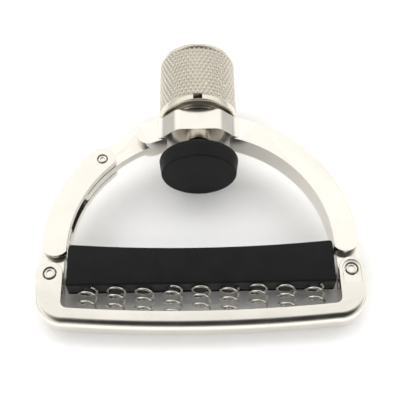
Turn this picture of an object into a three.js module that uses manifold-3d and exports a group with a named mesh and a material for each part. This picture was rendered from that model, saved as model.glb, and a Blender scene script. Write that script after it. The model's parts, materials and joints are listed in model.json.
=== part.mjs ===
// Guitar capo: a half-ring yoke, a side latch, a sprung string bar and a neck pad on a knob-driven screw.
// The yoke lies flat in the XY plane, the clamp screw runs along +Y and every size is in millimetres.

import * as THREE from 'three';
import { mergeVertices } from 'three/addons/utils/BufferGeometryUtils.js';
import Module from 'manifold-3d';

const wasm = await Module();
wasm.setup();

// ---- Driving dimensions ----

const GAP = 0.3;                    // air between pieces that touch or slide
const RING_INNER = 27.0;            // half ring of the yoke
const RING_OUTER = 32.7;
const OPENING_RADIUS = 27.6;        // round opening for the neck, a little below the ring's centre
const OPENING_Y = -0.5;
const THICKNESS = 5.4;              // yoke, lever and string bar
const LAYER = 2.0;                  // middle layer that the forks take
const STUB_ANGLE = 111.5;           // where the yoke's left stub ends, in degrees from +X
const LATCH_ANGLE = 135;            // latch pivot on the ring
const LATCH_ARM_END_ANGLE = 150;    // end of the yoke's thin left arm
const ARM_END_ANGLE = 1.1;          // end of the thick right arm, and mirrored, of the lever

const BOSS_HALF_HEIGHT = 6.3;       // flat-topped barrel that carries the screw
const BOSS_HALF_FLAT = 3.5;
const BOSS_CORNER = 3.0;            // radius of the barrel's shoulders
const BOSS_SLOPE = 45;              // steepest slope of its flanks, in degrees
const BOSS_FILLET = 2.4;
const BOSS_NEAR = 26.2;
const BOSS_FAR = 31.55;
const SLEEVE_RADIUS = 4.4;
const SLEEVE_END = 35.4;

const KNOB_RADIUS = 8.8;
const KNOB_NEAR = 32.15;
const KNOB_END = 48.65;
const SCREW_RADIUS = 2.6;
const SCREW_BORE = 3.0;
const SCREW_END = 44.5;

const NECK_PAD_RADIUS = 8.75;
const NECK_PAD_FACE_RADIUS = 8.1;
const NECK_PAD_FACE = 17.9;
const NECK_PAD_BACK = 22.0;
const CUP_BACK = 23.0;

const PIN_X = 30.6;                 // hinge pin on the right, catch pin on the left
const PIN_Y = -6.1;
const PIN_RADIUS = 1.1;
const PIN_DIMPLE = 0.75;
const LATCH_PIN_RADIUS = 0.9;
const LATCH_DIMPLE = 0.5;
const LATCH_OPEN = 105;             // degrees of lever travel
const BAR_OPEN = 74;                // degrees of bar travel over the same lever travel

const EAR_RADIUS = 2.6;             // each ear is round about its pin
const RAIL_INNER = -14.7;           // at the middle of the bar
const RAIL_DEPTH = 3.6;
const FRETBOARD_RADIUS = 305;

const PAD_HALF_LENGTH = 27.3;
const PAD_FACE = -0.6;
const PAD_BACK = -8.6;
const PAD_HEIGHT = 5.1;
const CARRIER_FRONT = -4.6;

const SPRING_COUNT = 9;
const SPRING_PITCH = 5.75;
const SPRING_RADIUS = 1.85;         // to the middle of the wire
const WIRE_RADIUS = 0.23;
const SPRING_TURNS = 4;
const SPRING_FRONT = -8.65;
const SPRING_BACK = -15.1;

const WELD_DISTANCE = 1e-4;
const PAST = 1;                     // how far a cutter goes past the face that it cuts

const HALF = THICKNESS / 2;
const RING_MIDDLE = (RING_INNER + RING_OUTER) / 2;
const RING_HALF_WIDTH = (RING_OUTER - RING_INNER) / 2;
const FORK_SLOT = LAYER + 2 * GAP;
const TONGUE_RADIUS = EAR_RADIUS - 0.1;
const TONGUE_INNER = RING_INNER + 0.6;
const TONGUE_OUTER = RING_OUTER - 0.2;
const BAR_OUTER = PIN_X + EAR_RADIUS;
const BAR_INNER = PIN_X - EAR_RADIUS;

// ---- Materials ----

function finish(color, roughness, metalness) {
  return new THREE.MeshStandardMaterial({ color, roughness, metalness });
}

const polishedSteel = finish(0xcfcabd, 0.22, 1.0);
const darkSteel = finish(0x6f6c66, 0.4, 1.0);
const knurledSteel = finish(0xc9c3b2, 0.38, 1.0);
const brass = finish(0xb9975b, 0.35, 1.0);
const springSteel = finish(0xd8d6d0, 0.25, 1.0);
const rubber = finish(0x2b2b2c, 0.75, 0.0);
const blackPlastic = finish(0x1c1c1d, 0.6, 0.0);

// ---- Solid helpers ----

function radians(degrees) {
  return THREE.MathUtils.degToRad(degrees);
}

function onRing(degrees, radius = RING_MIDDLE) {
  const angle = radians(degrees);
  return new THREE.Vector2(radius * Math.cos(angle), radius * Math.sin(angle));
}

function solid(geometry) {
  const bare = geometry.clone();
  bare.deleteAttribute('normal');
  bare.deleteAttribute('uv');
  const merged = mergeVertices(bare, WELD_DISTANCE);
  return new wasm.Manifold(new wasm.Mesh({
    numProp: 3,
    vertProperties: new Float32Array(merged.attributes.position.array),
    triVerts: new Uint32Array(merged.index.array),
  }));
}

function toMesh(name, body, material) {
  const data = body.getMesh();
  const geometry = new THREE.BufferGeometry();
  geometry.setAttribute('position', new THREE.BufferAttribute(new Float32Array(data.vertProperties), 3));
  geometry.setIndex(new THREE.BufferAttribute(new Uint32Array(data.triVerts), 1));
  geometry.computeVertexNormals();
  const mesh = new THREE.Mesh(geometry, material);
  mesh.name = name;
  return mesh;
}

// A flat outline extruded through the middle plane.
function plate(shape, thickness, curveSegments = 8) {
  const geometry = new THREE.ExtrudeGeometry(shape, { depth: thickness, bevelEnabled: false, curveSegments });
  geometry.translate(0, 0, -thickness / 2);
  return solid(geometry);
}

function box(x0, x1, y0, y1, z0, z1) {
  const geometry = new THREE.BoxGeometry(x1 - x0, y1 - y0, z1 - z0);
  geometry.translate((x0 + x1) / 2, (y0 + y1) / 2, (z0 + z1) / 2);
  return solid(geometry);
}

// A round rod square to the yoke's plane.
function uprightRod(x, y, radius, z0, z1, sides = 20) {
  const geometry = new THREE.CylinderGeometry(radius, radius, z1 - z0, sides);
  geometry.rotateX(Math.PI / 2);
  geometry.translate(x, y, (z0 + z1) / 2);
  return solid(geometry);
}

// A round rod along the screw axis.
function axialRod(radius, y0, y1, sides = 32) {
  const geometry = new THREE.CylinderGeometry(radius, radius, y1 - y0, sides);
  geometry.translate(0, (y0 + y1) / 2, 0);
  return solid(geometry);
}

// A turned piece about the screw axis, from a closed list of [radius, y] points.
function turned(points, sides = 40) {
  const profile = points.map(([radius, y]) => new THREE.Vector2(radius, y));
  if (THREE.ShapeUtils.area(profile) < 0) profile.reverse();
  profile.push(profile[0].clone());
  return solid(new THREE.LatheGeometry(profile, sides));
}

// A stretch of the ring with round ends, from one angle to another.
function ringStretch(inner, outer, start, end) {
  const middle = (inner + outer) / 2;
  const half = (outer - inner) / 2;
  const from = onRing(start, middle);
  const to = onRing(end, middle);
  const shape = new THREE.Shape();
  shape.absarc(0, 0, outer, radians(start), radians(end), false);
  shape.absarc(to.x, to.y, half, radians(end), radians(end) + Math.PI, false);
  shape.absarc(0, 0, inner, radians(end), radians(start), true);
  shape.absarc(from.x, from.y, half, radians(start) + Math.PI, radians(start) + 2 * Math.PI, false);
  return shape;
}

// The round opening that leaves the arms a little narrower towards their feet.
function neckOpening() {
  return uprightRod(0, OPENING_Y, OPENING_RADIUS, -HALF - PAST, HALF + PAST, 96);
}

function circleShape(x, y, radius) {
  const shape = new THREE.Shape();
  shape.absarc(x, y, radius, 0, 2 * Math.PI, false);
  return shape;
}

function polygon(points) {
  return new THREE.Shape(points.map(([x, y]) => new THREE.Vector2(x, y)));
}

// ---- Yoke ----

// The right upper quarter of the barrel's cross-section: shoulder, straight flank and fillet into the arm.
function bossQuarter() {
  const slope = radians(BOSS_SLOPE);
  const cornerZ = BOSS_HALF_HEIGHT - BOSS_CORNER;
  const flankX = BOSS_HALF_FLAT + BOSS_CORNER * Math.sin(slope);
  const flankZ = cornerZ + BOSS_CORNER * Math.cos(slope);
  const filletX = flankX + (flankZ - HALF) / Math.tan(slope) + BOSS_FILLET * Math.tan(slope / 2);
  const quarter = new THREE.Path();
  quarter.absarc(BOSS_HALF_FLAT, cornerZ, BOSS_CORNER, Math.PI / 2, Math.PI / 2 - slope, true);
  quarter.absarc(filletX, HALF + BOSS_FILLET, BOSS_FILLET, -Math.PI / 2 - slope, -Math.PI / 2, false);
  return quarter.getPoints(8).map(({ x, y }) => [x, y]);
}

function bossBarrel() {
  const quarter = bossQuarter();
  const upper = [...quarter.map(([x, z]) => [-x, z]).reverse(), ...quarter];
  const outline = [...upper, ...upper.map(([x, z]) => [x, -z]).reverse()];
  const length = BOSS_FAR - BOSS_NEAR;
  const geometry = new THREE.ExtrudeGeometry(polygon(outline), { depth: length, bevelEnabled: false });
  geometry.rotateX(Math.PI / 2);
  geometry.translate(0, BOSS_FAR, 0);
  return solid(geometry);
}

const GROOVE_RADIUS = 3.8;
const GROOVE_NEAR = 32.8;
const GROOVE_FAR = 33.8;

function bossSleeve() {
  return turned([
    [0, BOSS_FAR - PAST],
    [SLEEVE_RADIUS, BOSS_FAR - PAST],
    [SLEEVE_RADIUS, GROOVE_NEAR],
    [GROOVE_RADIUS, GROOVE_NEAR],
    [GROOVE_RADIUS, GROOVE_FAR],
    [SLEEVE_RADIUS, GROOVE_FAR],
    [SLEEVE_RADIUS, SLEEVE_END],
    [0, SLEEVE_END],
  ]);
}

// The thin tongue below each arm's end, nearly as wide as the arm above and round about the pin below.
function tongueOutline() {
  const radius = TONGUE_RADIUS;
  const shape = new THREE.Shape();
  shape.moveTo(TONGUE_INNER, RING_HALF_WIDTH);
  shape.lineTo(PIN_X - radius, PIN_Y + radius);
  shape.lineTo(PIN_X - radius, PIN_Y);
  shape.absarc(PIN_X, PIN_Y, radius, Math.PI, 2 * Math.PI, false);
  shape.lineTo(TONGUE_OUTER, RING_HALF_WIDTH);
  return shape;
}

const GUIDE_PIN_Y = 29.0;
const GUIDE_PIN_RADIUS = 0.7;
const GUIDE_PIN_TIP = 2.35;
const LATCH_ARM_INNER = RING_INNER + 0.2;
const LATCH_ARM_OUTER = RING_OUTER - 0.3;
const LATCH_ARM_WIDE_END_ANGLE = 129;
const LATCH_ARM_NARROW = RING_OUTER - 1.6;      // outer radius where the lever's wall closes over the arm

function guidePinHole() {
  return uprightRod(0, GUIDE_PIN_Y, GUIDE_PIN_RADIUS + GAP, -BOSS_HALF_HEIGHT - PAST, 0, 16);
}

// Everything of the ring that stands past the barrel's far end.
function pastSeatFace() {
  const reach = BOSS_HALF_HEIGHT + BOSS_CORNER;
  return box(-reach, reach, BOSS_FAR, RING_OUTER + PAST, -HALF - PAST, HALF + PAST);
}

function yokeFrame() {
  const arm = plate(ringStretch(RING_INNER, RING_OUTER, ARM_END_ANGLE, STUB_ANGLE), THICKNESS, 12);
  const wideShape = ringStretch(LATCH_ARM_INNER, LATCH_ARM_OUTER, STUB_ANGLE, LATCH_ARM_WIDE_END_ANGLE);
  const narrowShape = ringStretch(LATCH_ARM_INNER, LATCH_ARM_NARROW, STUB_ANGLE, LATCH_ARM_END_ANGLE);
  const latchArm = plate(wideShape, LAYER).add(plate(narrowShape, LAYER));
  const latchPoint = onRing(LATCH_ANGLE);
  return arm
    .subtract(pastSeatFace())
    .add(latchArm)
    .subtract(neckOpening())
    .add(bossBarrel())
    .add(bossSleeve())
    .add(plate(tongueOutline(), LAYER))
    .subtract(axialRod(SCREW_BORE, BOSS_NEAR - PAST, SLEEVE_END + PAST))
    .subtract(guidePinHole())
    .subtract(uprightRod(PIN_X, PIN_Y, PIN_RADIUS + GAP, -HALF, HALF))
    .subtract(uprightRod(latchPoint.x, latchPoint.y, LATCH_PIN_RADIUS + GAP, -HALF, HALF));
}

function guidePin() {
  return uprightRod(0, GUIDE_PIN_Y, GUIDE_PIN_RADIUS, -BOSS_HALF_HEIGHT + 0.2, -GUIDE_PIN_TIP, 16);
}

// A plain ring about the screw axis.
function washer(bore, radius, near, far) {
  return turned([[bore, near], [radius, near], [radius, far], [bore, far]]);
}

const WASHER_RADIUS = 6.7;
const WASHER_AIR = 0.12;            // end float of the washer between barrel and knob

function thrustWasher() {
  return washer(SLEEVE_RADIUS + GAP, WASHER_RADIUS, BOSS_FAR + WASHER_AIR, KNOB_NEAR - WASHER_AIR);
}

// ---- Knob and screw ----

const KNOB_FLANGE_BORE = SLEEVE_RADIUS + GAP;
const KNOB_FLANGE_END = 35.6;
const KNOB_BORE = 6.6;
const CAP_BACK = 47.45;
const CAP_FACE = KNOB_END - 0.1;
const CAP_RADIUS = 6.3;
const GRUB_Y = (GROOVE_NEAR + GROOVE_FAR) / 2;
const GRUB_RADIUS = 0.45;
const GRUB_SOCKET_RADIUS = 0.25;
const GRUB_SOCKET_DEPTH = 0.8;
const NOTCH_HALF_WIDTH = 1.0;       // square window in the knob's smooth band, over the grub screw
const NOTCH_START = KNOB_NEAR + 0.35;
const NOTCH_END = KNOB_NEAR + 1.95;
const NOTCH_FLOOR = 7.0;

function thumbKnob() {
  const chamfer = 0.4;
  const rim = 0.9;
  const body = turned([
    [KNOB_FLANGE_BORE, KNOB_NEAR],
    [KNOB_RADIUS - chamfer, KNOB_NEAR],
    [KNOB_RADIUS, KNOB_NEAR + chamfer],
    [KNOB_RADIUS, KNOB_END - rim],
    [KNOB_RADIUS - 0.3 * rim, KNOB_END - 0.4 * rim],
    [KNOB_RADIUS - rim, KNOB_END],
    [KNOB_BORE, KNOB_END],
    [KNOB_BORE, KNOB_FLANGE_END],
    [KNOB_FLANGE_BORE, KNOB_FLANGE_END],
  ], 48);
  const notch = box(
    -NOTCH_HALF_WIDTH, NOTCH_HALF_WIDTH,
    NOTCH_START, NOTCH_END,
    NOTCH_FLOOR, KNOB_RADIUS + PAST,
  );
  const hole = uprightRod(0, GRUB_Y, GRUB_RADIUS + GAP, 0, KNOB_RADIUS, 16);
  return body.subtract(notch).subtract(hole);
}

function knobGrubScrew() {
  const top = NOTCH_FLOOR - GAP;
  const socket = uprightRod(0, GRUB_Y, GRUB_SOCKET_RADIUS, top - GRUB_SOCKET_DEPTH, top + PAST, 6);
  return uprightRod(0, GRUB_Y, GRUB_RADIUS, GROOVE_RADIUS + GAP, top, 16).subtract(socket);
}

function knobEndCap() {
  const chamfer = 0.4;
  return turned([
    [0, CAP_BACK],
    [CAP_RADIUS, CAP_BACK],
    [CAP_RADIUS, CAP_FACE - chamfer],
    [CAP_RADIUS - chamfer, CAP_FACE],
    [0, CAP_FACE],
  ]);
}

const NUT_NEAR = 36.0;
const NUT_FAR = 40.5;

function driveNut() {
  return washer(SCREW_RADIUS + GAP, KNOB_BORE - GAP, NUT_NEAR, NUT_FAR);
}

const SCREW_TIP = 20.9;
const KEYWAY_START = CUP_BACK + 0.6;
const KEYWAY_END = 35.2;

function clampScrew() {
  const chamfer = 0.6;
  const keyHalf = GUIDE_PIN_RADIUS + GAP;
  const keyway = box(
    -keyHalf, keyHalf,
    KEYWAY_START, KEYWAY_END,
    -SCREW_RADIUS - PAST, GAP - GUIDE_PIN_TIP,
  );
  const rod = turned([
    [0, SCREW_TIP],
    [SCREW_RADIUS, SCREW_TIP],
    [SCREW_RADIUS, SCREW_END - chamfer],
    [SCREW_RADIUS - chamfer, SCREW_END],
    [0, SCREW_END],
  ], 32);
  return rod.subtract(keyway);
}

const CUP_RADIUS = 6.0;
const SPIGOT_RADIUS = 4.2;
const SPIGOT_TIP = 20.1;

function padCup() {
  const bore = SCREW_RADIUS + GAP;
  return turned([
    [bore, SPIGOT_TIP],
    [SPIGOT_RADIUS, SPIGOT_TIP],
    [SPIGOT_RADIUS, NECK_PAD_BACK + GAP],
    [CUP_RADIUS, NECK_PAD_BACK + GAP],
    [CUP_RADIUS, CUP_BACK - 0.3],
    [CUP_RADIUS - 0.9, CUP_BACK],
    [bore, CUP_BACK],
  ]);
}

function neckPad() {
  const recess = SPIGOT_RADIUS + GAP;
  const recessEnd = SPIGOT_TIP - GAP;
  return turned([
    [0, NECK_PAD_FACE],
    [NECK_PAD_FACE_RADIUS - 0.6, NECK_PAD_FACE],
    [NECK_PAD_FACE_RADIUS - 0.2, NECK_PAD_FACE + 0.2],
    [NECK_PAD_FACE_RADIUS, NECK_PAD_FACE + 0.6],
    [NECK_PAD_RADIUS, NECK_PAD_BACK - 0.6],
    [NECK_PAD_RADIUS - 0.2, NECK_PAD_BACK - 0.2],
    [NECK_PAD_RADIUS - 0.6, NECK_PAD_BACK],
    [recess, NECK_PAD_BACK],
    [recess, recessEnd],
    [0, recessEnd],
  ]);
}

// ---- Latch ----

const WEB_INNER = RING_OUTER - 1.2; // inner face of the lever's outer wall
const WEB_START_ANGLE = 143;        // the outer wall starts clear of the yoke's arm as the lever swings
const LEVER_TOP_ANGLE = 120;        // safely past the lever's round top
const LEVER_FOOT_ANGLE = 190;       // safely past the lever's lower end
const HOOK_START_ANGLE = 169;
const HOOK_END_ANGLE = 179;
const DOWEL_RADIUS = 0.7;
const DOWEL_ANGLES = [172.5, 177.5];
const DOWEL_HALF = FORK_SLOT / 2 + 0.7;

function dowelAt(angle, radius, half) {
  const point = onRing(angle, RING_MIDDLE - 0.6);
  return uprightRod(point.x, point.y, radius, -half, half, 16);
}

// The middle space of the lever: everything between its two plates except the outer wall.
function leverChannel() {
  const inside = plate(ringStretch(RING_INNER - 6, WEB_INNER, LEVER_TOP_ANGLE, LEVER_FOOT_ANGLE), FORK_SLOT);
  const besidePivot = plate(
    ringStretch(RING_INNER - 6, RING_OUTER + 3, LEVER_TOP_ANGLE, WEB_START_ANGLE - 9),
    FORK_SLOT,
  );
  const farOut = 2 * RING_OUTER;
  const wallStart = onRing(WEB_START_ANGLE, farOut);
  const openTop = plate(polygon([[0, 0], [wallStart.x, wallStart.y], [0, farOut]]), FORK_SLOT);
  return inside.add(besidePivot).add(openTop);
}

// The open foot of the lever, where the hook's tongue comes out.
function leverFoot() {
  const half = FORK_SLOT / 2;
  return box(-RING_OUTER - PAST, -RING_INNER + PAST, PIN_Y, RING_HALF_WIDTH + GAP, -half, half);
}

function latchLever() {
  const latchPoint = onRing(LATCH_ANGLE);
  const pinHole = uprightRod(latchPoint.x, latchPoint.y, LATCH_PIN_RADIUS + GAP, -HALF - PAST, HALF + PAST);
  let lever = plate(ringStretch(RING_INNER, RING_OUTER, LATCH_ANGLE, 180 - ARM_END_ANGLE), THICKNESS, 12);
  lever = lever.subtract(neckOpening()).subtract(leverChannel()).subtract(leverFoot()).subtract(pinHole);
  for (const angle of DOWEL_ANGLES) {
    lever = lever.subtract(dowelAt(angle, DOWEL_RADIUS + GAP, DOWEL_HALF + GAP));
  }
  return lever;
}

// Where the catch pin stands, seen from the lever, when the lever has swung out by a share of its travel.
function catchPinSeenFromLever(share) {
  const hinge = new THREE.Vector2(PIN_X, PIN_Y);
  const point = new THREE.Vector2(-PIN_X, PIN_Y);
  point.rotateAround(hinge, radians(BAR_OPEN * share));
  point.rotateAround(onRing(LATCH_ANGLE), radians(LATCH_OPEN * share));
  return point;
}

// The hook's mouth follows the pin's way out, so it is one round slot after another along that way.
function hookMouth() {
  const steps = 6;
  const lastShare = 0.12;           // by then the pin is clear of the hook
  let mouth = plate(circleShape(-PIN_X, PIN_Y, PIN_RADIUS + GAP), FORK_SLOT);
  for (let step = 0; step < steps; step += 1) {
    const from = catchPinSeenFromLever(lastShare * step / steps);
    const to = catchPinSeenFromLever(lastShare * (step + 1) / steps);
    const angle = Math.atan2(to.y - from.y, to.x - from.x);
    const shape = new THREE.Shape();
    shape.absarc(from.x, from.y, PIN_RADIUS + GAP, angle + Math.PI / 2, angle + 3 * Math.PI / 2, false);
    shape.absarc(to.x, to.y, PIN_RADIUS + GAP, angle - Math.PI / 2, angle + Math.PI / 2, false);
    mouth = mouth.add(plate(shape, FORK_SLOT));
  }
  return mouth;
}

// The block between the lever's plates and, below it, the hook that holds the catch pin.
function latchHook() {
  const root = plate(ringStretch(RING_INNER + 0.9, WEB_INNER - GAP, HOOK_START_ANGLE, HOOK_END_ANGLE), LAYER);
  const tongue = plate(tongueOutline(), LAYER).mirror([1, 0, 0]);
  let hook = root.add(tongue);
  for (const angle of DOWEL_ANGLES) {
    hook = hook.subtract(dowelAt(angle, DOWEL_RADIUS + GAP, HALF));
  }
  return hook.subtract(hookMouth());
}

// A riveted pin with a shallow dimple in each end.
function dimpledPin(x, y, radius, dimpleRadius, top = HALF) {
  const depth = 0.35;
  return uprightRod(x, y, radius, -HALF, top)
    .subtract(uprightRod(x, y, dimpleRadius, top - depth, HALF + PAST))
    .subtract(uprightRod(x, y, dimpleRadius, -HALF - PAST, -HALF + depth));
}

// ---- String bar ----

const CORNER_RADIUS = 6.0;
const INNER_CORNER = 1.4;

function railY(x, middle) {
  return middle + FRETBOARD_RADIUS - Math.sqrt(FRETBOARD_RADIUS ** 2 - x ** 2);
}

function barOutline() {
  const railOuter = RAIL_INNER - RAIL_DEPTH;
  const cornerX = BAR_OUTER - CORNER_RADIUS;
  const cornerY = railY(cornerX, railOuter) + CORNER_RADIUS;
  const span = Math.asin(cornerX / FRETBOARD_RADIUS);
  const innerX = BAR_INNER - INNER_CORNER;
  const innerY = railY(innerX, RAIL_INNER) + INNER_CORNER;
  const innerSpan = Math.asin(innerX / FRETBOARD_RADIUS);
  const outerCentre = railOuter + FRETBOARD_RADIUS;
  const innerCentre = RAIL_INNER + FRETBOARD_RADIUS;
  const quarter = Math.PI / 2;
  const shape = new THREE.Shape();
  shape.absarc(0, outerCentre, FRETBOARD_RADIUS, -quarter - span, -quarter + span, false);
  shape.absarc(cornerX, cornerY, CORNER_RADIUS, -quarter + span, 0, false);
  shape.absarc(PIN_X, PIN_Y, EAR_RADIUS, 0, 2 * quarter, false);
  shape.absarc(innerX, innerY, INNER_CORNER, 0, -quarter + innerSpan, true);
  shape.absarc(0, innerCentre, FRETBOARD_RADIUS, -quarter + innerSpan, -quarter - innerSpan, true);
  shape.absarc(-innerX, innerY, INNER_CORNER, -quarter - innerSpan, -2 * quarter, true);
  shape.absarc(-PIN_X, PIN_Y, EAR_RADIUS, 0, 2 * quarter, false);
  shape.absarc(-cornerX, cornerY, CORNER_RADIUS, 2 * quarter, 3 * quarter - span, false);
  return shape;
}

const FORK_FLOOR = PIN_Y - EAR_RADIUS - 0.4;
const RECESS_DEPTH = 0.35;
const RECESS_RADIUS = 1.85;
const RECESS_FOOT = PIN_Y - 3.1;
const POCKET_RADIUS = SPRING_RADIUS + 0.5;

function springX(index) {
  return (index - (SPRING_COUNT - 1) / 2) * SPRING_PITCH;
}

// A blind round pocket for the end of a spring.
function springPocket(x, y0, y1) {
  return axialRod(POCKET_RADIUS, y0, y1, 16).translate([x, 0, 0]);
}

// The shallow recess round the hinge pin, with a round top and a square foot.
function hingeRecess() {
  const shape = new THREE.Shape();
  shape.moveTo(PIN_X - RECESS_RADIUS, RECESS_FOOT);
  shape.lineTo(PIN_X + RECESS_RADIUS, RECESS_FOOT);
  shape.lineTo(PIN_X + RECESS_RADIUS, PIN_Y);
  shape.absarc(PIN_X, PIN_Y, RECESS_RADIUS, 0, Math.PI, false);
  return plate(shape, 2 * RECESS_DEPTH).translate([0, 0, HALF]);
}

function stringBar() {
  const slotHalf = FORK_SLOT / 2;
  const reach = EAR_RADIUS + PAST;
  let bar = plate(barOutline(), THICKNESS);
  for (const x of [-PIN_X, PIN_X]) {
    bar = bar.subtract(box(x - reach, x + reach, FORK_FLOOR, PIN_Y + reach, -slotHalf, slotHalf));
    bar = bar.subtract(uprightRod(x, PIN_Y, PIN_RADIUS + GAP, -HALF - PAST, HALF + PAST));
  }
  for (let index = 0; index < SPRING_COUNT; index += 1) {
    bar = bar.subtract(springPocket(springX(index), SPRING_BACK - GAP, RAIL_INNER + PAST));
  }
  return bar.subtract(hingeRecess());
}

// ---- Pressure pad on springs ----

const CHANNEL_HEIGHT = 3.2;
const STUD_RADIUS = 1.25;
const STUD_LENGTH = 0.8;

// The pad's face is hollowed to the fretboard's radius and its back is straight.
function stringPad() {
  const span = Math.asin(PAD_HALF_LENGTH / FRETBOARD_RADIUS);
  const centre = PAD_FACE + FRETBOARD_RADIUS;
  const quarter = Math.PI / 2;
  const shape = new THREE.Shape();
  shape.moveTo(-PAD_HALF_LENGTH, PAD_BACK);
  shape.lineTo(PAD_HALF_LENGTH, PAD_BACK);
  shape.absarc(0, centre, FRETBOARD_RADIUS, -quarter + span, -quarter - span, true);
  const half = CHANNEL_HEIGHT / 2 + GAP;
  const reach = PAD_HALF_LENGTH + PAST;
  const channel = box(-reach, reach, PAD_BACK - PAST, CARRIER_FRONT + GAP, -half, half);
  return plate(shape, PAD_HEIGHT).subtract(channel);
}

// The carrier fills the pad's channel, and a short stud on its back locates each spring.
function padCarrier() {
  const half = CHANNEL_HEIGHT / 2;
  let carrier = box(-PAD_HALF_LENGTH, PAD_HALF_LENGTH, PAD_BACK, CARRIER_FRONT, -half, half);
  for (let index = 0; index < SPRING_COUNT; index += 1) {
    const stud = axialRod(STUD_RADIUS, PAD_BACK - STUD_LENGTH, PAD_BACK + PAST, 16);
    carrier = carrier.add(stud.translate([springX(index), 0, 0]));
  }
  return carrier;
}

const SPRING_CLEARANCE = WIRE_RADIUS + 0.05;

// The middle line of a spring's wire, from the carrier back to the rail.
class Helix extends THREE.Curve {
  getPoint(t, target = new THREE.Vector3()) {
    const start = SPRING_FRONT - SPRING_CLEARANCE;
    const end = SPRING_BACK + SPRING_CLEARANCE;
    const angle = 2 * Math.PI * SPRING_TURNS * t;
    return target.set(
      SPRING_RADIUS * Math.cos(angle),
      start + (end - start) * t,
      SPRING_RADIUS * Math.sin(angle),
    );
  }
}

// The wire is four-sided and takes eight straight steps a turn.
function coilSpring() {
  const radius = WIRE_RADIUS;
  const section = polygon([[radius, 0], [0, radius], [-radius, 0], [0, -radius], [radius, 0]]);
  const steps = 8 * SPRING_TURNS;
  return new THREE.ExtrudeGeometry(section, { steps, bevelEnabled: false, extrudePath: new Helix() });
}

// ---- Assembly ----

const latchPoint = onRing(LATCH_ANGLE);
const meshes = [
  toMesh('yoke_frame', yokeFrame(), polishedSteel),
  toMesh('guide_pin', guidePin(), darkSteel),
  toMesh('thrust_washer', thrustWasher(), polishedSteel),
  toMesh('thumb_knob', thumbKnob(), knurledSteel),
  toMesh('knob_grub_screw', knobGrubScrew(), darkSteel),
  toMesh('knob_end_cap', knobEndCap(), polishedSteel),
  toMesh('drive_nut', driveNut(), brass),
  toMesh('clamp_screw', clampScrew(), polishedSteel),
  toMesh('pad_cup', padCup(), polishedSteel),
  toMesh('neck_pad', neckPad(), rubber),
  toMesh('latch_lever', latchLever(), polishedSteel),
  toMesh('latch_hook', latchHook(), darkSteel),
  toMesh('latch_pin', dimpledPin(latchPoint.x, latchPoint.y, LATCH_PIN_RADIUS, LATCH_DIMPLE), polishedSteel),
  toMesh('string_bar', stringBar(), polishedSteel),
  toMesh('hinge_pin', dimpledPin(PIN_X, PIN_Y, PIN_RADIUS, PIN_DIMPLE, HALF - RECESS_DEPTH), polishedSteel),
  toMesh('catch_pin', dimpledPin(-PIN_X, PIN_Y, PIN_RADIUS, PIN_DIMPLE), polishedSteel),
  toMesh('pad_carrier', padCarrier(), blackPlastic),
  toMesh('string_pad', stringPad(), rubber),
];

DOWEL_ANGLES.forEach((angle, index) => {
  meshes.push(toMesh(`hook_dowel_${index + 1}`, dowelAt(angle, DOWEL_RADIUS, DOWEL_HALF), darkSteel));
});

for (let index = 0; index < SPRING_COUNT; index += 1) {
  const spring = toMesh(`spring_${index + 1}`, solid(coilSpring()), springSteel);
  spring.position.x = springX(index);
  meshes.push(spring);
}

// The origin is under the middle of the whole capo, on the level of the knob's lowest line.
const capo = new THREE.Group();
const railOuter = RAIL_INNER - RAIL_DEPTH;
capo.position.set(0, -(KNOB_END + railOuter) / 2, KNOB_RADIUS);
capo.add(...meshes);

const model = new THREE.Group();
model.add(capo);

export default model;
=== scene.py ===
"""Looks of the guitar capo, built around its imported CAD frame.

Lengths are in metres unless a name says mm. Angles given as plain numbers are in degrees.
"""

import json
import math

import bmesh
import bpy
import numpy as np
from mathutils import Matrix, Vector


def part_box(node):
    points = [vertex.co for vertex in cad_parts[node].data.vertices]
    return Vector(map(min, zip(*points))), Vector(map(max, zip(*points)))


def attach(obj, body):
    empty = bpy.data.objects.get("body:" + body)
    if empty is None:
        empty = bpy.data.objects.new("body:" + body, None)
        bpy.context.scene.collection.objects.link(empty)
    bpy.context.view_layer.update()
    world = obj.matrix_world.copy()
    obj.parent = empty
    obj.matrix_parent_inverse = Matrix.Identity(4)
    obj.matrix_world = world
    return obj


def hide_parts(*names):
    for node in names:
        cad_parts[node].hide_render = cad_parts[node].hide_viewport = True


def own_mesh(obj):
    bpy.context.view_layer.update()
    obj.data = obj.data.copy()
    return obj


MM = 0.001

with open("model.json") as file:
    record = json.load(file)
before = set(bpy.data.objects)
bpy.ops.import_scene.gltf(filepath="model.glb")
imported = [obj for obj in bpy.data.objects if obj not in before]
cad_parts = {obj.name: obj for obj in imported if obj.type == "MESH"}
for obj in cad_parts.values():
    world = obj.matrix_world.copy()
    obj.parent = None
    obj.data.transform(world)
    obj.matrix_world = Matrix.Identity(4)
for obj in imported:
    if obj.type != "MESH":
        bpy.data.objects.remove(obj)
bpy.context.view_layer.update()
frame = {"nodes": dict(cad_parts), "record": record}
nodes = frame["nodes"]


# ---- Node helpers ----

COLOR_A = 6                         # sockets of a Mix node that mixes colours
COLOR_B = 7
COLOR_RESULT = 2


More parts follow.
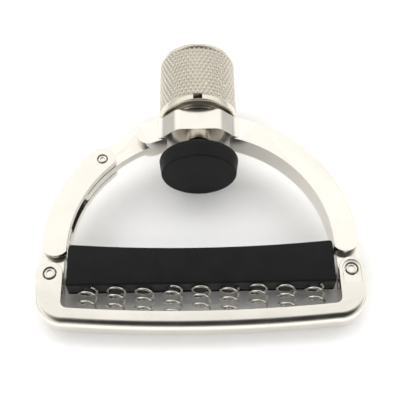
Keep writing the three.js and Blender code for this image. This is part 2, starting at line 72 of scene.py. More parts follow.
class Shader:
    """A material with one Principled shader, and short calls for the nodes that feed it."""

    def __init__(self, name, color, roughness, metallic=0.0):
        self.material = bpy.data.materials.new(name)
        self.material.use_nodes = True
        self.tree = self.material.node_tree
        self.shader = self.tree.nodes["Principled BSDF"]
        self.shader.inputs["Base Color"].default_value = (*color, 1)
        self.shader.inputs["Roughness"].default_value = roughness
        self.shader.inputs["Metallic"].default_value = metallic

    def node(self, kind, values=None, **settings):
        made = self.tree.nodes.new(kind)
        for key, value in settings.items():
            setattr(made, key, value)
        for key, value in (values or {}).items():
            made.inputs[key].default_value = value
        return made

    def link(self, source, target):
        self.tree.links.new(source, target)

    def place(self, stretch=(1, 1, 1)):
        """Object coordinates, in millimetres, with a stretch along each axis."""
        coordinates = self.node("ShaderNodeTexCoord")
        mapping = self.node("ShaderNodeMapping")
        mapping.inputs["Scale"].default_value = [1000 * s for s in stretch]
        self.link(coordinates.outputs["Object"], mapping.inputs["Vector"])
        return mapping.outputs["Vector"]

    def noise(self, place, scale, detail=4.0, roughness=0.55, distortion=0.0):
        """Noise with so many lumps to a millimetre."""
        made = self.node("ShaderNodeTexNoise", {
            "Scale": scale,
            "Detail": detail,
            "Roughness": roughness,
            "Distortion": distortion,
        })
        self.link(place, made.inputs["Vector"])
        return made.outputs["Fac"]

    def ramp(self, source, low, high, to_low=0.0, to_high=1.0):
        """source from low..high to to_low..to_high."""
        made = self.node("ShaderNodeMapRange", {
            "From Min": low,
            "From Max": high,
            "To Min": to_low,
            "To Max": to_high,
        })
        self.link(source, made.inputs["Value"])
        return made.outputs["Result"]

    def add(self, first, second):
        made = self.node("ShaderNodeMath", operation="ADD")
        self.link(first, made.inputs[0])
        self.link(second, made.inputs[1])
        return made.outputs["Value"]

    def mix(self, factor, first, second):
        """Blend of two colours by a factor from 0 to 1."""
        made = self.node("ShaderNodeMix", data_type="RGBA")
        self.link(factor, made.inputs["Factor"])
        for socket, value in zip((made.inputs[COLOR_A], made.inputs[COLOR_B]), (first, second)):
            if isinstance(value, tuple):
                socket.default_value = (*value, 1)
            else:
                self.link(value, socket)
        return made.outputs[COLOR_RESULT]

    def pointed(self, low, high):
        """0 to 1 as pointiness goes from low to high. It is 0.5 on flat faces and less in grooves."""
        geometry = self.node("ShaderNodeNewGeometry")
        return self.ramp(geometry.outputs["Pointiness"], low, high)

    def bump(self, height, strength, distance):
        made = self.node("ShaderNodeBump", {"Strength": strength, "Distance": distance})
        self.link(height, made.inputs["Height"])
        self.link(made.outputs["Normal"], self.shader.inputs["Normal"])

    def color(self, source):
        self.link(source, self.shader.inputs["Base Color"])

    def roughness(self, source):
        self.link(source, self.shader.inputs["Roughness"])


# ---- Materials ----


def polished_steel():
    """Warm nickel-silver with cloudy polish, hairline scratches and a painted highlight on its edges."""
    color = (0.87, 0.838, 0.775)
    dull = tuple(0.95 * c for c in color)
    # A painted highlight: a lighter colour for the pointed edges.
    bright = tuple(min(1.0, 1.06 * c) for c in color)
    roughness = 0.16
    look = Shader("polished_steel", color, roughness, metallic=1.0)
    cloud = look.noise(look.place(), 0.12, detail=3)
    hairlines = look.noise(look.place((0.15, 4.0, 4.0)), 1.4, detail=6, roughness=0.7)
    smudge = look.noise(look.place(), 0.45, detail=5, roughness=0.65, distortion=0.4)
    face = look.mix(look.ramp(cloud, 0.35, 0.65), color, dull)
    # Painted highlight: the colour turns lighter where the surface is pointed, on the edges.
    look.color(look.mix(look.pointed(0.52, 0.6), face, bright))
    polish = look.ramp(cloud, 0.3, 0.7, roughness - 0.05, roughness + 0.05)
    smudged = look.add(polish, look.ramp(smudge, 0.45, 0.75, 0.0, 0.07))
    look.roughness(look.add(smudged, look.ramp(hairlines, 0.4, 0.7, 0.0, 0.05)))
    look.bump(hairlines, 0.05, 0.02 * MM)
    return look.material


def knurled_steel():
    """Nickel plate over the knurl: satin flanks, painted shade in the grooves and a painted highlight on the
    crests.
    """
    color = (0.80, 0.735, 0.635)
    patch = (0.62, 0.585, 0.5)
    # The next two colours are painted shade for the grooves and a painted highlight for the crests.
    groove_shade = (0.1, 0.085, 0.065)
    crest_highlight = (0.9, 0.88, 0.8)
    look = Shader("knurled_steel", color, 0.3, metallic=1.0)
    grain = look.noise(look.place(), 5.0, detail=5, roughness=0.7)
    cloud = look.noise(look.place(), 0.3, detail=3)
    flank = look.mix(look.ramp(cloud, 0.35, 0.7, 0.0, 0.35), color, patch)
    # Painted shade darkens the grooves where pointiness is low, and a painted highlight lightens the pointed
    # crests.
    flank_with_groove_shade = look.mix(look.pointed(0.4, 0.5), groove_shade, flank)
    look.color(look.mix(look.pointed(0.5, 0.62), flank_with_groove_shade, crest_highlight))
    look.roughness(look.ramp(grain, 0.3, 0.7, 0.2, 0.36))
    look.bump(grain, 0.25, 0.01 * MM)
    return look.material


def dark_steel():
    """Plain oiled steel with a mottled skin."""
    look = Shader("dark_steel", (0.40, 0.39, 0.37), 0.36, metallic=1.0)
    mottle = look.noise(look.place(), 2.2, detail=6, roughness=0.65)
    look.color(look.mix(look.ramp(mottle, 0.3, 0.7), (0.45, 0.44, 0.42), (0.27, 0.26, 0.25)))
    look.roughness(look.ramp(mottle, 0.3, 0.7, 0.28, 0.46))
    look.bump(mottle, 0.2, 0.01 * MM)
    return look.material


def brass():
    """Machined brass with fine turning rings."""
    look = Shader("brass", (0.72, 0.58, 0.35), 0.28, metallic=1.0)
    rings = look.noise(look.place((0.3, 6.0, 0.3)), 1.2, detail=4)
    look.color(look.mix(look.ramp(rings, 0.3, 0.7), (0.76, 0.61, 0.36), (0.6, 0.46, 0.26)))
    look.roughness(look.ramp(rings, 0.3, 0.7, 0.22, 0.36))
    look.bump(rings, 0.3, 0.01 * MM)
    return look.material


def spring_steel():
    """Bright drawn wire with faint marks of the drawing die."""
    look = Shader("spring_steel", (0.88, 0.86, 0.80), 0.17, metallic=1.0)
    marks = look.noise(look.place((1.0, 5.0, 1.0)), 2.5, detail=5)
    look.color(look.mix(look.ramp(marks, 0.35, 0.7), (0.9, 0.88, 0.82), (0.66, 0.64, 0.58)))
    look.roughness(look.ramp(marks, 0.3, 0.7, 0.12, 0.26))
    look.bump(marks, 0.1, 0.005 * MM)
    return look.material


def rubber():
    """Satin black moulded rubber with a fine pebble, cloudy tone and a painted highlight on its corners."""
    black = (0.0045, 0.0045, 0.005)
    paler = (0.008, 0.008, 0.0085)
    # A painted highlight: a paler colour for the pointed corners and edges.
    corner = (0.016, 0.016, 0.016)
    look = Shader("rubber", (0.024, 0.024, 0.025), 0.56)
    look.shader.inputs["Specular IOR Level"].default_value = 0.16
    pebble = look.noise(look.place(), 3.5, detail=6, roughness=0.6)
    cloud = look.noise(look.place(), 0.25, detail=4)
    face = look.mix(look.ramp(cloud, 0.3, 0.7), black, paler)
    # Painted highlight: the colour turns paler where the surface is pointed.
    edge = look.ramp(look.pointed(0.52, 0.6), 0.0, 1.0, 0.0, 0.6)
    look.color(look.mix(edge, face, corner))
    cloudy = look.ramp(cloud, 0.3, 0.7, 0.46, 0.6)
    look.roughness(look.add(cloudy, look.ramp(pebble, 0.3, 0.7, -0.05, 0.07)))
    look.bump(pebble, 0.35, 0.02 * MM)
    return look.material


def black_plastic():
    """Matt black nylon with a fine moulding grain."""
    look = Shader("black_plastic", (0.02, 0.02, 0.021), 0.48)
    grain = look.noise(look.place(), 6.0, detail=5, roughness=0.6)
    look.color(look.mix(look.ramp(grain, 0.3, 0.7), (0.015, 0.015, 0.016), (0.03, 0.03, 0.031)))
    look.roughness(look.ramp(grain, 0.3, 0.7, 0.4, 0.58))
    look.bump(grain, 0.3, 0.01 * MM)
    return look.material


def floor_paper():
    """White matt paper with hardly any tone of its own."""
    look = Shader("floor_paper", (0.9, 0.9, 0.9), 0.9)
    tooth = look.noise(look.place(), 0.6, detail=5)
    look.color(look.mix(tooth, (0.915, 0.915, 0.915), (0.885, 0.885, 0.885)))
    look.roughness(look.ramp(tooth, 0.3, 0.7, 0.85, 0.95))
    return look.material


SLOTS = {
    "polished_steel": polished_steel(),
    "knurled_steel": knurled_steel(),
    "dark_steel": dark_steel(),
    "brass": brass(),
    "spring_steel": spring_steel(),
    "rubber": rubber(),
    "black_plastic": black_plastic(),
}


def paint(piece, slot):
    piece.data.materials.clear()
    piece.data.materials.append(SLOTS[slot])


# ---- CAD nodes that stay ----

WELD_DISTANCE = 0.002 * MM
FLAT_ANGLE = 0.4                    # triangles that meet at less than this are one flat face
SHARP_ANGLE = 32                    # edges sharper than this are rounded
EDGE_SEGMENTS = 2
RAIL_SEGMENTS = 5

EDGE_WIDTHS_MM = {
    "yoke_frame": 0.32,
    "latch_lever": 0.28,
    "string_bar": 0.14,
    "latch_hook": 0.15,
    "thrust_washer": 0.06,
    "knob_end_cap": 0.1,
    "drive_nut": 0.1,
    "pad_cup": 0.08,
    "latch_pin": 0.1,
    "hinge_pin": 0.1,
    "catch_pin": 0.1,
    "pad_carrier": 0.15,
    "clamp_screw": 0.08,
    "guide_pin": 0.08,
    "knob_grub_screw": 0.05,
    "hook_dowel_1": 0.08,
    "hook_dowel_2": 0.08,
}


def shade_smooth(piece):
    for polygon in piece.data.polygons:
        polygon.use_smooth = True


def bevel(piece, name, width, segments, limit_method):
    made = piece.modifiers.new(name, "BEVEL")
    made.width = width
    made.segments = segments
    made.limit_method = limit_method
    return made


def soften(piece, width, round_edge=0.0):
    """Welds the mesh, joins its flat faces, rounds its sharp edges and keeps flat faces flat.

    round_edge is a larger rounding for the edges that carry a bevel weight.
    """
    shade_smooth(piece)
    stored_normals = piece.data.attributes.get("custom_normal")
    if stored_normals:
        piece.data.attributes.remove(stored_normals)
    weld = piece.modifiers.new("weld", "WELD")
    weld.merge_threshold = WELD_DISTANCE
    flat = piece.modifiers.new("flat faces", "DECIMATE")
    flat.decimate_type = "DISSOLVE"
    flat.angle_limit = math.radians(FLAT_ANGLE)
    if round_edge:
        large = bevel(piece, "round edges", round_edge, RAIL_SEGMENTS, "WEIGHT")
        large.use_clamp_overlap = False
    small = bevel(piece, "edges", width, EDGE_SEGMENTS, "ANGLE")
    small.angle_limit = math.radians(SHARP_ANGLE)
    small.miter_outer = "MITER_ARC"
    small.use_clamp_overlap = not round_edge
    normals = piece.modifiers.new("normals", "WEIGHTED_NORMAL")
    normals.mode = "FACE_AREA"
    normals.weight = 100
    normals.keep_sharp = False


# -- The rail of the string bar --

RAIL_ROUND = 1.6 * MM               # rounding of the rail's outer edges
RAIL_CURVE = 305 * MM               # radius of the rail's outer side
RAIL_CURVE_REACH = 304.5 * MM       # what lies further from the curve's centre is on the outer side
CORNER_RADIUS = 6.0 * MM            # of the corner between the rail and an ear
CORNER_RISE = 7.25 * MM             # from the rail's lowest line to the corner's centre
CORNER_TOP = 7.3 * MM               # from the rail's lowest line to the corner's end
CORNER_SLACK = 0.9 * MM
LEVEL_SLACK = 0.01 * MM
WEIGHT_AT_RAIL = 1.15               # bevel weight at the rail's lowest line, before it is cut to 1
WEIGHT_FADE = 9.0 * MM              # the weight falls by 1 over this rise
LEAST_WEIGHT = 0.3


def on_rail_side(point, low):
    return math.hypot(point.x, point.y - (low.y + RAIL_CURVE)) > RAIL_CURVE_REACH


def on_rail_corner(point, low, high):
    centre_x = high.x - CORNER_RADIUS
    reach = math.hypot(abs(point.x) - centre_x, point.y - (low.y + CORNER_RISE))
    in_quarter = abs(point.x) > centre_x and point.y < low.y + CORNER_TOP
    return in_quarter and abs(reach - CORNER_RADIUS) < CORNER_SLACK


def weigh_rail_edges(piece):
    """Gives the long outer edges of the string bar's rail a bevel weight that fades out up the ears."""
    mesh = piece.data
    weights = mesh.attributes.new("bevel_weight_edge", "FLOAT", "EDGE")
    low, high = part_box("string_bar")
    points = [piece.matrix_world @ v.co for v in mesh.vertices]
    for edge in mesh.edges:
        ends = [points[i] for i in edge.vertices]
        on_face = all(min(abs(p.z - low.z), abs(p.z - high.z)) < LEVEL_SLACK for p in ends)
        level = abs(ends[0].z - ends[1].z) < LEVEL_SLACK
        side = all(on_rail_side(p, low) for p in ends)
        corner = all(on_rail_corner(p, low, high) for p in ends)
        if on_face and level and (side or corner):
            rise = max(p.y for p in ends) - low.y
            weight = WEIGHT_AT_RAIL - rise / WEIGHT_FADE
            weights.data[edge.index].value = min(1.0, max(LEAST_WEIGHT, weight))


for subpart in frame["record"]["subparts"]:
    paint(nodes[subpart["node"]], subpart["material_slot"])

weigh_rail_edges(nodes["string_bar"])
for name, width in EDGE_WIDTHS_MM.items():
    soften(nodes[name], width * MM, round_edge=RAIL_ROUND if name == "string_bar" else 0.0)


# ---- Crafted pieces ----


def grid_piece(name, points, closed=False):
    """A mesh from rings of points, points[ring][column]. closed joins the last ring to the first."""
    rings, columns = points.shape[:2]
    faces = []
    for ring in range(rings if closed else rings - 1):
        next_ring = (ring + 1) % rings
        for column in range(columns):
            next_column = (column + 1) % columns
            faces.append((
                ring * columns + column,
                ring * columns + next_column,
                next_ring * columns + next_column,
                next_ring * columns + column,
            ))
    mesh = bpy.data.meshes.new(name)
    mesh.from_pydata([tuple(p) for p in points.reshape(-1, 3)], [], faces)
    mesh.validate()
    piece = bpy.data.objects.new(name, mesh)
    bpy.context.scene.collection.objects.link(piece)
    shade_smooth(piece)
    return piece


def rework(piece, *steps):
    """Runs mesh steps on a piece, then makes every face look outwards."""
    work = bmesh.new()
    work.from_mesh(piece.data)
    for step in steps:
        step(work)
    bmesh.ops.recalc_face_normals(work, faces=work.faces)
    work.to_mesh(piece.data)
    work.free()


def merge_doubles(work):
    bmesh.ops.remove_doubles(work, verts=work.verts, dist=0.001 * MM)


def fill_ends(work):
    edges = [e for e in work.edges if e.is_boundary]
    bmesh.ops.holes_fill(work, edges=edges, sides=len(edges))


def split_ends(work):
    """Splits the filled ends, the only faces with more than four corners, into triangles."""
    bmesh.ops.triangulate(work, faces=[f for f in work.faces if len(f.verts) > 4])


def apply_modifiers(piece):
    """Bakes a crafted piece's modifiers into its own mesh."""
    graph = bpy.context.evaluated_depsgraph_get()
    graph.update()
    mesh = bpy.data.meshes.new_from_object(piece.evaluated_get(graph))
    piece.modifiers.clear()
    piece.data = mesh


def keep_place(piece, body, slot, *replaced):
    """The calls every crafted piece needs."""
    paint(piece, slot)
    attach(piece, body)
    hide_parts(*replaced)


def box_centre(node):
    low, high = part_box(node)
    return (low + high) / 2


AXIS = box_centre("thumb_knob")     # the clamp screw's axis goes through here, along +Y


def turned_ring(radius, y, columns):
    """A ring of points round the clamp screw's axis. radius is one number, or one for each column."""
    angles = 2 * math.pi * np.arange(columns) / columns
    x = AXIS.x + radius * np.sin(angles)
    z = AXIS.z + radius * np.cos(angles)
    return np.stack([x, np.full(columns, y), z], axis=1)


def quarter_turn(steps):
    """Angles from 0 to a right angle, in radians."""
    return [math.pi / 2 * step / steps for step in range(steps + 1)]


# -- Thumb knob --

KNOB_BAND = 1.7 * MM                # smooth band at the near edge
KNOB_RIM = 1.35 * MM                # smooth far rim
KNOB_BORE = 4.7 * MM                # radius of the hole in the near face
KNOB_HOLLOW = 6.6 * MM              # radius of the hollow behind that hole
KNOB_HOLLOW_FLOOR = 3.2 * MM        # from the near face
HOLLOW_CHAMFER = 0.15 * MM
NEAR_ROUND = 0.45 * MM              # rounding of the near edge, along the radius
NEAR_ROUND_DEPTH = 0.4 * MM         # the same, along the axis
FAR_ROUND = 1.0 * MM
NEAR_STEPS = 4
NEAR_FACE_STEPS = 3
FAR_STEPS = 8

KNURL_TEETH = 50
KNURL_DEPTH = 0.36 * MM
KNURL_STEEPNESS = 1.75              # height of a diamond over its width
KNURL_ROWS = 108
KNURL_FADE = 0.25 * MM              # the grooves run out over this length at both ends
CREST_CUT = 1.2                     # cuts the crests flat
COLUMNS_PER_TOOTH = 8
BAND_DROP = 0.16 * MM               # the smooth parts end this far down, on the way to the grooves
BAND_SLOPE = 0.02 * MM              # and slope down by this before that
BAND_FLAT_END = 0.3 * MM            # from the knurl, as are the next three
BAND_SLOPE_END = 0.1 * MM
RIM_START = 0.02 * MM
RIM_SLOPE_END = 0.12 * MM

NOTCH_HALF_WIDTH = 1.0 * MM
NOTCH_START = 0.35 * MM             # from the knob's near face
NOTCH_END = 1.95 * MM
NOTCH_FLOOR = 7.0 * MM              # above the knob's axis
NOTCH_HEIGHT = 3.0 * MM
GRUB_HOLE_RADIUS = 0.75 * MM
GRUB_HOLE_LENGTH = 4.0 * MM
GRUB_HOLE_MIDDLE = 5.5 * MM         # above the knob's axis
GRUB_HOLE_SIDES = 32


def knob_profile(radius, near, far):
    """The knob's section from the bore round the outside, as (radius, y, whether it is knurled)."""
    start = near + KNOB_BAND
    end = far - KNOB_RIM
    face_width = radius - NEAR_ROUND - KNOB_BORE
    smooth = [(KNOB_BORE + face_width * step / NEAR_FACE_STEPS, near) for step in range(NEAR_FACE_STEPS + 1)]
    for angle in quarter_turn(NEAR_STEPS)[1:]:
        drop = NEAR_ROUND * (1 - math.sin(angle))
        smooth.append((radius - drop, near + NEAR_ROUND_DEPTH * (1 - math.cos(angle))))
    smooth.append((radius, start - BAND_FLAT_END))
    smooth.append((radius - BAND_SLOPE, start - BAND_SLOPE_END))
    smooth.append((radius - BAND_DROP, start))
    profile = [(r, y, False) for r, y in smooth]
    for row in range(KNURL_ROWS + 1):
        profile.append((radius, start + (end - start) * row / KNURL_ROWS, True))
    smooth = [(radius - BAND_DROP, end + RIM_START), (radius - BAND_SLOPE, end + RIM_SLOPE_END)]
    for angle in quarter_turn(FAR_STEPS):
        drop = FAR_ROUND * (1 - math.cos(angle))
        smooth.append((radius - drop, far - FAR_ROUND * (1 - math.sin(angle))))
    smooth.append((KNOB_HOLLOW + HOLLOW_CHAMFER, far))
    smooth.append((KNOB_HOLLOW, far - HOLLOW_CHAMFER))
    smooth.append((KNOB_HOLLOW, near + KNOB_HOLLOW_FLOOR))
    smooth.append((KNOB_BORE, near + KNOB_HOLLOW_FLOOR))
    return profile + [(r, y, False) for r, y in smooth]


def knurl_height(turn, along, pitch):
    """Height of a diamond knurl, 0 in the grooves and 1 on the flat crests."""
    left = (turn + along / pitch) % 1.0
    right = (turn - along / pitch) % 1.0
    valley = np.minimum(1 - np.abs(2 * left - 1), 1 - np.abs(2 * right - 1))
    return np.clip(valley * CREST_CUT, 0.0, 1.0)


def thumb_knob():
    low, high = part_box("thumb_knob")
    radius = (high.x - low.x) / 2
    start = low.y + KNOB_BAND
    end = high.y - KNOB_RIM
    pitch = 2 * math.pi * radius / KNURL_TEETH * KNURL_STEEPNESS
    columns = KNURL_TEETH * COLUMNS_PER_TOOTH
    turns = np.arange(columns) / COLUMNS_PER_TOOTH
    rings = []
    for r, y, knurled in knob_profile(radius, low.y, high.y):
        if knurled:
            fade = max(0.0, min(1.0, (y - start) / KNURL_FADE, (end - y) / KNURL_FADE))
            r = r - KNURL_DEPTH + KNURL_DEPTH * knurl_height(turns, y - start, pitch) * fade
        rings.append(turned_ring(r, y, columns))
    piece = grid_piece("knob_shell", np.array(rings), closed=True)
    rework(piece)
    return piece


def notch_cutter():
    """The square window in the knob's smooth band, with the hole for the grub screw in its floor."""
    low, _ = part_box("thumb_knob")
    grub = box_centre("knob_grub_screw")
    work = bmesh.new()
    bmesh.ops.create_cube(work, size=1.0)
    size = Vector((2 * NOTCH_HALF_WIDTH, NOTCH_END - NOTCH_START, NOTCH_HEIGHT))
    window_y = low.y + (NOTCH_START + NOTCH_END) / 2
    window = Vector((AXIS.x, window_y, AXIS.z + NOTCH_FLOOR + size.z / 2))
    bmesh.ops.scale(work, vec=size, verts=work.verts)
    bmesh.ops.translate(work, vec=window, verts=work.verts)
    box_points = set(work.verts)
    bmesh.ops.create_cone(
        work,
        cap_ends=True,
        segments=GRUB_HOLE_SIDES,
        radius1=GRUB_HOLE_RADIUS,
        radius2=GRUB_HOLE_RADIUS,
        depth=GRUB_HOLE_LENGTH,
    )
    hole_points = [v for v in work.verts if v not in box_points]
    hole = Vector((grub.x, grub.y, AXIS.z + GRUB_HOLE_MIDDLE))
    bmesh.ops.translate(work, vec=hole, verts=hole_points)
    mesh = bpy.data.meshes.new("notch")
    work.to_mesh(mesh)
    work.free()
    cutter = bpy.data.objects.new("notch", mesh)
    bpy.context.scene.collection.objects.link(cutter)
    return cutter


def cut_notch(piece):
    cutter = notch_cutter()
    cut = piece.modifiers.new("notch", "BOOLEAN")
    cut.operation = "DIFFERENCE"
    cut.object = cutter
    cut.solver = "EXACT"
    cut.use_self = True
    apply_modifiers(piece)
    bpy.data.objects.remove(cutter)


# -- Springs --

SPRING_COUNT = 9
SPRING_WIRE = 0.26 * MM             # radius of the wire
SPRING_TURNS = 3.7
CLOSED_TURNS = 0.5                  # turns lying nearly flat at each end
CLOSED_PITCH = 2.1 * SPRING_WIRE    # rise of a closed turn
FIRST_PHASE = 0.11                  # in turns
PHASE_STEP = 0.37
WIRE_SIDES = 10
STEPS_PER_TURN = 28


def coil_rise(turn, length):
    """How far the wire has risen after so many turns, with a closed part at each end."""
    open_turns = SPRING_TURNS - 2 * CLOSED_TURNS
    open_rise = length - 2 * CLOSED_PITCH * CLOSED_TURNS
    first = min(turn, CLOSED_TURNS) * CLOSED_PITCH
    last = max(0.0, turn - (SPRING_TURNS - CLOSED_TURNS)) * CLOSED_PITCH
    middle = min(max(turn - CLOSED_TURNS, 0.0), open_turns) / open_turns
    return first + last + open_rise * middle


def spring(index):
    """A compression spring with closed ends, where the CAD has its plain helix."""
    low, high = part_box(f"spring_{index}")
    centre = (low + high) / 2
    radius = (high.x - low.x) / 2 - SPRING_WIRE
    length = high.y - low.y - 2 * SPRING_WIRE
    steps = int(SPRING_TURNS * STEPS_PER_TURN)
    turns = np.linspace(0, 1, steps + 1) * SPRING_TURNS
    phase = 2 * math.pi * (FIRST_PHASE + PHASE_STEP * index)
    angle = phase + 2 * math.pi * turns
    line = np.stack([
        centre.x + radius * np.cos(angle),
        low.y + SPRING_WIRE + np.array([coil_rise(turn, length) for turn in turns]),
        centre.z + radius * np.sin(angle),
    ], axis=1)
    outward = np.stack([np.cos(angle), np.zeros_like(angle), np.sin(angle)], axis=1)
    tangent = np.gradient(line, axis=0)
    tangent /= np.linalg.norm(tangent, axis=1)[:, None]
    across = np.cross(tangent, outward)
    points = np.zeros((steps + 1, WIRE_SIDES, 3))
    for side in range(WIRE_SIDES):
        a = 2 * math.pi * side / WIRE_SIDES
        points[:, side] = line + SPRING_WIRE * (math.cos(a) * outward + math.sin(a) * across)
    piece = grid_piece(f"coil_{index}", points)
    rework(piece, fill_ends)
    shade_smooth(piece)
    return piece


def springs():
    """Puts the springs in."""
    for index in range(1, SPRING_COUNT + 1):
        piece = spring(index)
        keep_place(piece, "bar", "spring_steel", f"spring_{index}")
        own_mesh(piece)


# -- Neck pad --

NECK_CROWN = 0.12 * MM              # the face stands this far proud in its middle
NECK_SHOULDER = 0.45 * MM           # rounding between face and side
NECK_TAPER = 0.45 * MM              # the side narrows by this towards the face
NECK_BACK_ROUND = 0.55 * MM
NECK_RECESS = 4.5 * MM              # radius of the recess for the cup's spigot
NECK_RECESS_DEPTH = 2.2 * MM
NECK_RECESS_CHAMFER = 0.2 * MM
NECK_FACE_STEPS = 9
NECK_SHOULDER_STEPS = 8
NECK_SIDE_STEPS = 4
NECK_BACK_STEPS = 5
NECK_COLUMNS = 96


def neck_pad_profile(radius, face, back):
    """The section as (radius, y), from the middle of the face to the middle of the recess."""
    flat = radius - NECK_SHOULDER - NECK_TAPER
    top = face + NECK_CROWN
    profile = []
    for step in range(NECK_FACE_STEPS + 1):
        share = step / NECK_FACE_STEPS
        profile.append((flat * step / NECK_FACE_STEPS, face + NECK_CROWN * share ** 2))
    for angle in quarter_turn(NECK_SHOULDER_STEPS)[1:]:
        y = top + NECK_SHOULDER * (1 - math.cos(angle))
        profile.append((flat + NECK_SHOULDER * math.sin(angle), y))
    side_length = back - NECK_BACK_ROUND - top - NECK_SHOULDER
    for step in range(1, NECK_SIDE_STEPS + 1):
        share = step / NECK_SIDE_STEPS
        y = top + NECK_SHOULDER + side_length * share
        profile.append((flat + NECK_SHOULDER + NECK_TAPER * share, y))
    for angle in quarter_turn(NECK_BACK_STEPS)[1:]:
        y = back - NECK_BACK_ROUND * (1 - math.sin(angle))
        profile.append((radius - NECK_BACK_ROUND * (1 - math.cos(angle)), y))
    recess_end = back - NECK_RECESS_DEPTH
    profile.append((NECK_RECESS + NECK_RECESS_CHAMFER, back))
    profile.append((NECK_RECESS, back - NECK_RECESS_CHAMFER))
    profile.append((NECK_RECESS, recess_end))
    profile.append((0.0, recess_end))
    return profile


def neck_pad():
    """A turned rubber button: slightly crowned face, round shoulder and a soft back edge."""
    low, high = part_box("neck_pad")
    profile = neck_pad_profile((high.x - low.x) / 2, low.y, high.y)
    rings = [turned_ring(r, y, NECK_COLUMNS) for r, y in profile]
    piece = grid_piece("neck_button", np.array(rings))
    rework(piece, merge_doubles)
    shade_smooth(piece)
    return piece


# -- String pad --

FRETBOARD_RADIUS = 305 * MM
PAD_CORNER = 0.75 * MM              # rounding of the face's long edges
PAD_BACK_CORNER = 0.25 * MM
PAD_END_ROUND = 0.7 * MM
PAD_CREST = 0.12 * MM               # the face's middle line stands this far proud
CHANNEL_HALF = 1.9 * MM             # half the width of the channel for the carrier
CHANNEL_FLOOR = 4.3 * MM            # from the pad's back
PAD_STATIONS = 41
END_SHARES = (0.0, 0.15, 0.4, 0.7, 1.0)    # stations in an end's rounding, as shares of it
END_KEEP_OUT = 1.6                  # the even stations keep at least this many end roundings from the end
FACE_PULL = 0.75                    # an end's rounding pulls the face in by this share
SIDE_PULL = 0.45                    # and the two sides by this one
TINY = 1e-9


def arc(cx, cy, r, start, end, steps):
    turn = np.radians(np.linspace(start, end, steps))
    return [(cx + r * math.cos(t), cy + r * math.sin(t)) for t in turn]


def pad_section(half_height, depth, channel_depth):
    """The section as (height, distance towards the neck), counter-clockwise from the face's upper edge."""
    side = half_height - PAD_CORNER
    back_side = half_height - PAD_BACK_CORNER
    lip = CHANNEL_HALF + PAD_BACK_CORNER
    back = -depth + PAD_BACK_CORNER
    section = arc(side, -PAD_CORNER, PAD_CORNER, 0, 90, 7)
    section += [(0.0, PAD_CREST)]
    section += arc(-side, -PAD_CORNER, PAD_CORNER, 90, 180, 7)
    section += arc(-back_side, back, PAD_BACK_CORNER, 180, 270, 4)
    section += arc(-lip, back, PAD_BACK_CORNER, 270, 360, 4)
    section += [(-CHANNEL_HALF, -channel_depth), (CHANNEL_HALF, -channel_depth)]
    section += arc(lip, back, PAD_BACK_CORNER, 180, 270, 4)
    section += arc(back_side, back, PAD_BACK_CORNER, 270, 360, 4)
    return section


def pad_stations(half_length):
    """Places along the pad, closer together in its rounded ends."""
    ends = np.array(END_SHARES) * PAD_END_ROUND
    even = np.linspace(-1, 1, PAD_STATIONS)[1:-1] * (half_length - END_KEEP_OUT * PAD_END_ROUND)
    return np.concatenate([-half_length + ends, even, half_length - ends[::-1]])


def end_pull(inset):
    """How far an end's rounding draws the section in, at a distance from the end."""
    if inset >= PAD_END_ROUND:
        return 0.0
    return PAD_END_ROUND - math.sqrt(max(0.0, PAD_END_ROUND ** 2 - (PAD_END_ROUND - inset) ** 2))


def fretboard_rise(x):
    return FRETBOARD_RADIUS - math.sqrt(FRETBOARD_RADIUS ** 2 - x ** 2)


def string_pad():
    """The long rubber pad: a rounded C section swept along the bar, its face hollowed to the fretboard."""
    low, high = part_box("string_pad")
    centre = box_centre("string_pad")
    half_length = (high.x - low.x) / 2
    back = low.y
    face = high.y - fretboard_rise(half_length)
    depth = face - back
    section = pad_section((high.z - low.z) / 2, depth, face - (back + CHANNEL_FLOOR))
    stations = pad_stations(half_length)
    points = np.zeros((len(stations), len(section), 3))
    for row, x in enumerate(stations):
        pull = end_pull(half_length - abs(x))
        front = face + fretboard_rise(x)
        for column, (height, forward) in enumerate(section):
            if forward >= -PAD_CORNER - TINY:
                y = front + forward - FACE_PULL * pull
            else:
                y = front + forward * (front - back) / depth
            if abs(height) > CHANNEL_HALF + PAD_BACK_CORNER:
                height = height - math.copysign(SIDE_PULL * pull, height)
            points[row, column] = (centre.x + x, y, centre.z + height)
    piece = grid_piece("string_cushion", points)
    rework(piece, fill_ends, split_ends)
    return piece


knob = thumb_knob()
cut_notch(knob)
shade_smooth(knob)
keep_place(knob, "knob", "knurled_steel", "thumb_knob")

springs()

neck_button = neck_pad()
keep_place(neck_button, "plunger", "rubber", "neck_pad")

string_cushion = string_pad()
keep_place(string_cushion, "pressure_pad", "rubber", "string_pad")


# ---- Floor, light and camera ----

FLOOR_HALF = 3.0
CONTACT_INSET = 0.6 * MM            # the floor is touched this far in from a rounded edge

SOFTBOX_DISTANCE = 1.0
SOFTBOXES = {                       # azimuth, elevation, size, glow
    "back": (0, 46, (2.0, 0.8), 1.0),
    "front": (180, 38, (1.8, 0.6), 2.5),
    "left": (-75, 32, (1.2, 0.8), 0.9),
    "right": (80, 32, (1.2, 0.8), 0.9),
}

STUDIO_COLOR = (1.0, 0.988, 0.965, 1.0)
DOME_GLOW = 1.17
HORIZON_GLOW = 0.56
DOME_ELEVATION = 34                 # the dome has its full glow from here up
DARK_GLOW = 0.04
DARK_DIRECTION = Vector((0.1, -0.494, 0.865)).normalized()    # middle of the dark part of the studio
DARK_RADIUS = (20.0, 57.0)          # from full dark to full light

SENSOR_WIDTH_MM = 36
LENS_MM = 72
CLIP_START = 0.01
CLIP_END = 20
CAMERA_TARGET = Vector((0.1 * MM, -4.875 * MM, 11.5 * MM))
CAMERA_PITCH = 60.4
CAMERA_ROLL = -1.05
CAMERA_DISTANCE = 170 * MM


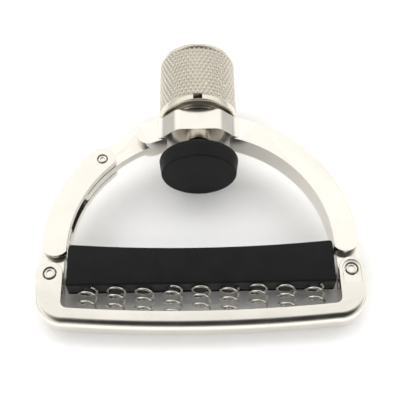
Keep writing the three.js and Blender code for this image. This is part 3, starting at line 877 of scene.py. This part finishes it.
def floor():
    """The capo rests on the rail's lower edge and on the lower line of its neck pad."""
    bar_low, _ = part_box("string_bar")
    pad_low, pad_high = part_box("neck_pad")
    contact = Vector((0.0, bar_low.y + CONTACT_INSET, bar_low.z))
    second = Vector((0.0, pad_high.y - CONTACT_INSET, pad_low.z))
    slope = math.atan2(second.z - contact.z, second.y - contact.y)
    corners = [(-1, -1), (1, -1), (1, 1), (-1, 1)]
    mesh = bpy.data.meshes.new("floor")
    mesh.from_pydata([(FLOOR_HALF * x, FLOOR_HALF * y, 0) for x, y in corners], [], [(0, 1, 2, 3)])
    piece = bpy.data.objects.new("floor", mesh)
    bpy.context.scene.collection.objects.link(piece)
    piece.matrix_world = Matrix.Translation(contact) @ Matrix.Rotation(slope, 4, "X")
    piece.data.materials.append(floor_paper())


def softbox(name, azimuth, elevation, size, glow):
    """A soft lamp that faces the capo. It lights matt surfaces, and the steel mirrors the studio instead."""
    turn = math.radians(azimuth)
    rise = math.radians(elevation)
    direction = (math.sin(turn) * math.cos(rise), math.cos(turn) * math.cos(rise), math.sin(rise))
    place = SOFTBOX_DISTANCE * Vector(direction)
    light = bpy.data.lights.new(name, "AREA")
    light.shape = "RECTANGLE"
    light.size, light.size_y = size
    light.energy = glow * math.pi * size[0] * size[1]
    lamp = bpy.data.objects.new(name, light)
    bpy.context.scene.collection.objects.link(lamp)
    lamp.location = place
    lamp.rotation_mode = "QUATERNION"
    lamp.rotation_quaternion = (-place).to_track_quat("-Z", "Y")
    lamp.visible_glossy = False


def studio():
    """A bright dome that falls off towards the horizon, with a round dark part on the near side."""
    world = bpy.data.worlds.new("studio")
    world.use_nodes = True
    tree = world.node_tree
    link = tree.links.new
    background = tree.nodes["Background"]

    def node(kind, **settings):
        made = tree.nodes.new(kind)
        for key, value in settings.items():
            setattr(made, key, value)
        return made

    def smooth_range(source, low, high, to_low, to_high):
        made = node("ShaderNodeMapRange", interpolation_type="SMOOTHSTEP")
        for key, value in zip(("From Min", "From Max", "To Min", "To Max"), (low, high, to_low, to_high)):
            made.inputs[key].default_value = value
        link(source, made.inputs["Value"])
        return made.outputs["Result"]

    direction = node("ShaderNodeTexCoord").outputs["Generated"]
    parts = node("ShaderNodeSeparateXYZ")
    link(direction, parts.inputs["Vector"])
    dome_height = math.sin(math.radians(DOME_ELEVATION))
    dome = smooth_range(parts.outputs["Z"], 0.0, dome_height, HORIZON_GLOW, DOME_GLOW)
    dot = node("ShaderNodeVectorMath", operation="DOT_PRODUCT")
    link(direction, dot.inputs[0])
    dot.inputs[1].default_value = DARK_DIRECTION
    full_dark, full_light = (math.cos(math.radians(a)) for a in DARK_RADIUS)
    shade = smooth_range(dot.outputs["Value"], full_light, full_dark, 1.0, DARK_GLOW / DOME_GLOW)
    strength = node("ShaderNodeMath", operation="MULTIPLY")
    link(dome, strength.inputs[0])
    link(shade, strength.inputs[1])
    link(strength.outputs["Value"], background.inputs["Strength"])
    background.inputs["Color"].default_value = STUDIO_COLOR
    bpy.context.scene.world = world


def camera():
    data = bpy.data.cameras.new("camera")
    data.sensor_width = SENSOR_WIDTH_MM
    data.lens = LENS_MM
    data.clip_start = CLIP_START
    data.clip_end = CLIP_END
    piece = bpy.data.objects.new("camera", data)
    bpy.context.scene.collection.objects.link(piece)
    pitch = math.radians(CAMERA_PITCH)
    back = Vector((0, -math.cos(pitch), math.sin(pitch)))
    piece.location = CAMERA_TARGET + CAMERA_DISTANCE * back
    piece.rotation_mode = "QUATERNION"
    look = (-back).to_track_quat("-Z", "Y")
    roll = Matrix.Rotation(math.radians(CAMERA_ROLL), 3, "Z").to_quaternion()
    piece.rotation_quaternion = look @ roll
    bpy.context.scene.camera = piece


floor()
studio()
for name, settings in SOFTBOXES.items():
    softbox(name, *settings)
camera()

view = bpy.context.scene.view_settings
view.view_transform = "Standard"
view.look = "None"
view.exposure = 0.0
